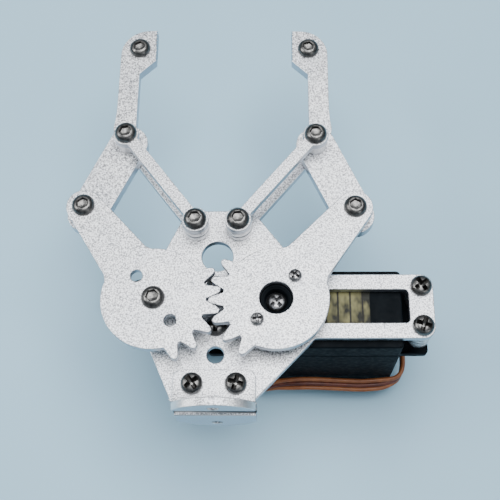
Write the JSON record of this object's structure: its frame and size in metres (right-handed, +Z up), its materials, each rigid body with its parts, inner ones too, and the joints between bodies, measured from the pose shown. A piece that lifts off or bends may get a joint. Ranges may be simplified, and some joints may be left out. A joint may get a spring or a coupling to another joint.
{
  "type": "servo robot claw",
  "caption": "Two-finger parallel-linkage robot claw of silver aluminium sheet, driven by a hobby servo under its plate through toothed arms, with a round rear mounting flange.",
  "frame": {"origin": "on the servo's bottom face, under the drive axis (the right toothed arm's axis)", "axes": "+X to the right finger's side, +Y towards the fingertips, +Z up, from the servo to the toothed arms"},
  "size_m": [0.0909, 0.1053, 0.0476],
  "materials": {
    "aluminium": "fine matte anodised, bright rounded edges",
    "black_plastic": "fine moulded texture",
    "servo_metal": "turned",
    "circuit_board": "solder mask",
    "black_rubber": "soft",
    "lead_wire": "three-wire ribbon in brown, red and orange",
    "bright_screw": "nickel plated",
    "dark_screw": "black oxide",
    "bright_steel": "nickel plated"
  },
  "bodies": {
    "base": {"base_plate": "aluminium", "wrist_bracket_upper": "aluminium", "wrist_bracket_lower": "aluminium", "bracket_screw_right": "dark_screw", "bracket_screw_left": "dark_screw", "servo_standoff_inner_front": "bright_steel", "servo_standoff_inner_rear": "bright_steel", "servo_standoff_outer_front": "bright_steel", "servo_standoff_outer_rear": "bright_steel", "servo_screw_inner_front": "dark_screw", "servo_screw_inner_rear": "dark_screw", "servo_screw_outer_front": "dark_screw", "servo_screw_outer_rear": "dark_screw", "servo_nut_inner_front": "bright_steel", "servo_nut_inner_rear": "bright_steel", "servo_nut_outer_front": "bright_steel", "servo_nut_outer_rear": "bright_steel", "servo_case_top": "black_plastic", "servo_case_middle": "black_plastic", "servo_case_bottom": "black_plastic", "servo_motor": "servo_metal", "servo_circuit_board": "circuit_board", "cable_grommet": "black_rubber", "servo_lead": "lead_wire", "lead_coil": "lead_wire", "lead_plug": "black_plastic", "left_gear_screw": "dark_screw", "left_gear_spacer": "bright_steel", "left_gear_nut": "bright_steel", "right_inner_pivot_screw": "dark_screw", "right_inner_pivot_spacer": "bright_steel", "right_inner_pivot_nut": "bright_steel", "left_inner_pivot_screw": "dark_screw", "left_inner_pivot_spacer": "bright_steel", "left_inner_pivot_nut": "bright_steel"},
    "right_arm": {"right_gear_arm": "aluminium", "servo_output_shaft": "servo_metal", "servo_horn": "black_plastic", "horn_screw": "bright_screw", "gear_screw_front": "bright_screw", "gear_screw_rear": "bright_screw"},
    "left_arm": {"left_gear_arm": "aluminium"},
    "right_finger": {"right_finger": "aluminium", "right_fingertip_screw": "dark_screw", "right_outer_pivot_screw": "dark_screw", "right_outer_pivot_spacer": "bright_steel", "right_outer_pivot_nut": "bright_steel"},
    "right_link": {"right_upper_link": "aluminium", "right_lower_link": "aluminium", "right_finger_pivot_screw": "dark_screw", "right_finger_pivot_spacer": "bright_steel"},
    "left_finger": {"left_finger": "aluminium", "left_fingertip_screw": "dark_screw", "left_outer_pivot_screw": "dark_screw", "left_outer_pivot_spacer": "bright_steel", "left_outer_pivot_nut": "bright_steel"},
    "left_link": {"left_upper_link": "aluminium", "left_lower_link": "aluminium", "left_finger_pivot_screw": "dark_screw", "left_finger_pivot_spacer": "bright_steel"}
  },
  "joints": [
    {"name": "drive", "type": "hinge", "parent": "base", "child": "right_arm", "pos_m": [0, 0, 0.0448], "axis": [0, 0, 1], "range_deg": [-24, 37]},
    {"name": "left_gear_pivot", "type": "hinge", "parent": "base", "child": "left_arm", "pos_m": [-0.0291, 0, 0.0448], "axis": [0, 0, 1], "range_deg": [-37, 24]},
    {"name": "right_link_pivot", "type": "hinge", "parent": "base", "child": "right_link", "pos_m": [-0.00928, 0.02025, 0.0427], "axis": [0, 0, 1], "range_deg": [-24, 37]},
    {"name": "right_finger_pivot", "type": "hinge", "parent": "right_arm", "child": "right_finger", "pos_m": [0.01934, 0.02333, 0.0395], "axis": [0, 0, 1], "range_deg": [-37, 24]},
    {"name": "left_link_pivot", "type": "hinge", "parent": "base", "child": "left_link", "pos_m": [-0.01982, 0.02025, 0.0427], "axis": [0, 0, 1], "range_deg": [-37, 24]},
    {"name": "left_finger_pivot", "type": "hinge", "parent": "left_arm", "child": "left_finger", "pos_m": [-0.04753, 0.02405, 0.0395], "axis": [0, 0, 1], "range_deg": [-24, 37]}
  ],
  "couplings": [
    {"joint": "left_gear_pivot", "follows": "drive", "ratio": -1},
    {"joint": "right_link_pivot", "follows": "drive", "ratio": 1},
    {"joint": "right_finger_pivot", "follows": "drive", "ratio": -1},
    {"joint": "left_link_pivot", "follows": "drive", "ratio": -1},
    {"joint": "left_finger_pivot", "follows": "drive", "ratio": 1}
  ]
}
